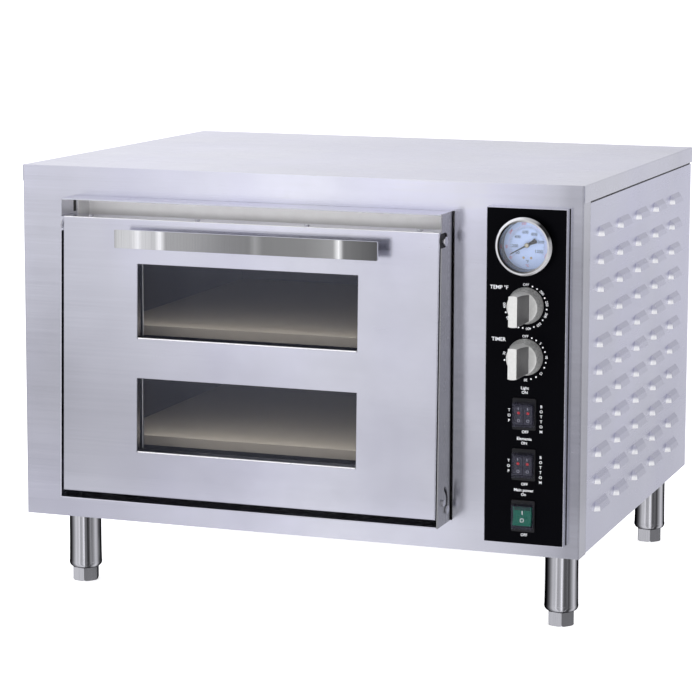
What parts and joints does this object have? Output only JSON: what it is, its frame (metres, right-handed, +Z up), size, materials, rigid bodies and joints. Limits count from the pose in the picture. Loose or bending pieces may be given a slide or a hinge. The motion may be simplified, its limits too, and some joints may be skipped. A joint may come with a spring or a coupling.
{
  "type": "countertop deck oven",
  "caption": "Countertop electric baking oven with two stone decks behind one drop-down glazed door, louvred sides, dial thermometer, knobs, rocker switches and levelling legs.",
  "frame": {"origin": "middle of the overall footprint, on the surface that the feet stand on", "axes": "+X to the right as seen from the front, +Y from the door to the back, +Z up"},
  "size_m": [0.724, 0.646, 0.536],
  "materials": {
    "brushed_stainless": "fine brushed grain",
    "mill_steel": "dull mill finish",
    "fastener_steel": "bright plated",
    "mineral_wool": "loose fibre slab",
    "fire_stone": "pale fired cordierite, matte",
    "heater_tube": "dark oxide",
    "lamp_body": "cast, satin",
    "lamp_glass": "clear pressed",
    "instrument_body": "moulded",
    "chromed_bezel": "bright",
    "dial_face": "printed, matte",
    "clear_lens": "flat clear",
    "pointer_black": "matte black",
    "black_overlay": "satin film",
    "pale_knob": "pale satin moulding",
    "shaft_metal": "turned",
    "switch_black": "moulded",
    "clear_boot": "clear flexible cover",
    "rocker_grey": "satin",
    "rocker_green": "translucent green",
    "terminal_white": "moulded",
    "gland_black": "moulded nylon",
    "leg_metal": "turned and polished",
    "foot_metal": "turned hexagon bar",
    "window_glass": "tempered flat",
    "sleeve_black": "matte black",
    "rope_seal": "woven glass rope",
    "polished_strap": "polished flat bar"
  },
  "bodies": {
    "cabinet": {"front_panel": "brushed_stainless", "top_cover": "brushed_stainless", "side_panel_left": "brushed_stainless", "side_panel_right": "brushed_stainless", "surround_top": "brushed_stainless", "surround_bottom": "brushed_stainless", "cheek_left": "brushed_stainless", "cheek_right": "brushed_stainless", "control_tray": "brushed_stainless", "base_tray": "mill_steel", "back_panel": "mill_steel", "bulkhead": "mill_steel", "chamber_face": "mill_steel", "upper_chamber": "mill_steel", "lower_chamber": "mill_steel", "cabinet_fasteners": "fastener_steel", "insulation": "mineral_wool", "baking_stones": "fire_stone", "upper_elements": "heater_tube", "lower_elements": "heater_tube", "lamp_housings": "lamp_body", "lamp_lenses": "lamp_glass", "sensor_probes": "fastener_steel", "thermostat_body": "instrument_body", "timer_body": "instrument_body", "gauge_case": "chromed_bezel", "gauge_dial": "dial_face", "gauge_lens": "clear_lens", "control_overlay": "black_overlay", "switch_bodies": "switch_black", "switch_boots": "clear_boot", "terminal_block": "terminal_white", "cable_gland": "gland_black", "legs": "leg_metal"},
    "door": {"door_front_panel": "brushed_stainless", "door_inner_panel": "mill_steel", "door_insulation": "mineral_wool", "door_outer_glass": "window_glass", "door_inner_glass": "window_glass", "window_sleeves": "sleeve_black", "door_gasket": "rope_seal", "door_handle": "polished_strap", "handle_standoffs": "fastener_steel", "hinge_pins": "fastener_steel", "door_side_pins": "fastener_steel", "door_screws": "fastener_steel"},
    "gauge_needle": {"gauge_pointer": "pointer_black"},
    "temperature_control": {"temperature_knob": "pale_knob", "temperature_shaft": "shaft_metal"},
    "timer_control": {"timer_knob": "pale_knob", "timer_shaft": "shaft_metal"},
    "light_switch_upper": {"light_rocker_upper": "rocker_grey"},
    "light_switch_lower": {"light_rocker_lower": "rocker_grey"},
    "element_switch_upper": {"element_rocker_upper": "rocker_grey"},
    "element_switch_lower": {"element_rocker_lower": "rocker_grey"},
    "power_switch": {"power_rocker": "rocker_green"},
    "levelling_foot_front_left": {"foot_front_left": "foot_metal"},
    "levelling_foot_front_right": {"foot_front_right": "foot_metal"},
    "levelling_foot_rear_left": {"foot_rear_left": "foot_metal"},
    "levelling_foot_rear_right": {"foot_rear_right": "foot_metal"}
  },
  "joints": [
    {"name": "door_hinge", "type": "hinge", "parent": "cabinet", "child": "door", "pos_m": [-0.043, -0.29, 0.162], "axis": [1, 0, 0], "range_deg": [0, 90]},
    {"name": "gauge_needle_turn", "type": "hinge", "parent": "cabinet", "child": "gauge_needle", "pos_m": [0.2915, -0.276, 0.4663], "axis": [0, 1, 0], "range_deg": [0, 238], "stiffness_Nm_per_rad": 0.0004},
    {"name": "temperature_turn", "type": "hinge", "parent": "cabinet", "child": "temperature_control", "pos_m": [0.2915, -0.287, 0.3967], "axis": [0, 1, 0], "range_deg": [0, 300]},
    {"name": "timer_turn", "type": "hinge", "parent": "cabinet", "child": "timer_control", "pos_m": [0.2915, -0.287, 0.3368], "axis": [0, 1, 0], "range_deg": [0, 300]},
    {"name": "light_switch_upper_rock", "type": "hinge", "parent": "cabinet", "child": "light_switch_upper", "pos_m": [0.2915, -0.27, 0.2703], "axis": [1, 0, 0], "range_deg": [-12, 0]},
    {"name": "light_switch_lower_rock", "type": "hinge", "parent": "cabinet", "child": "light_switch_lower", "pos_m": [0.2915, -0.27, 0.2703], "axis": [1, 0, 0], "range_deg": [-12, 0]},
    {"name": "element_switch_upper_rock", "type": "hinge", "parent": "cabinet", "child": "element_switch_upper", "pos_m": [0.2915, -0.27, 0.2107], "axis": [1, 0, 0], "range_deg": [-12, 0]},
    {"name": "element_switch_lower_rock", "type": "hinge", "parent": "cabinet", "child": "element_switch_lower", "pos_m": [0.2915, -0.27, 0.2107], "axis": [1, 0, 0], "range_deg": [-12, 0]},
    {"name": "power_switch_rock", "type": "hinge", "parent": "cabinet", "child": "power_switch", "pos_m": [0.2915, -0.27, 0.15], "axis": [1, 0, 0], "range_deg": [0, 12]},
    {"name": "front_left_level", "type": "slide", "parent": "cabinet", "child": "levelling_foot_front_left", "axis": [0, 0, -1], "range_m": [0, 0.02]},
    {"name": "front_right_level", "type": "slide", "parent": "cabinet", "child": "levelling_foot_front_right", "axis": [0, 0, -1], "range_m": [0, 0.02]},
    {"name": "rear_left_level", "type": "slide", "parent": "cabinet", "child": "levelling_foot_rear_left", "axis": [0, 0, -1], "range_m": [0, 0.02]},
    {"name": "rear_right_level", "type": "slide", "parent": "cabinet", "child": "levelling_foot_rear_right", "axis": [0, 0, -1], "range_m": [0, 0.02]}
  ]
}
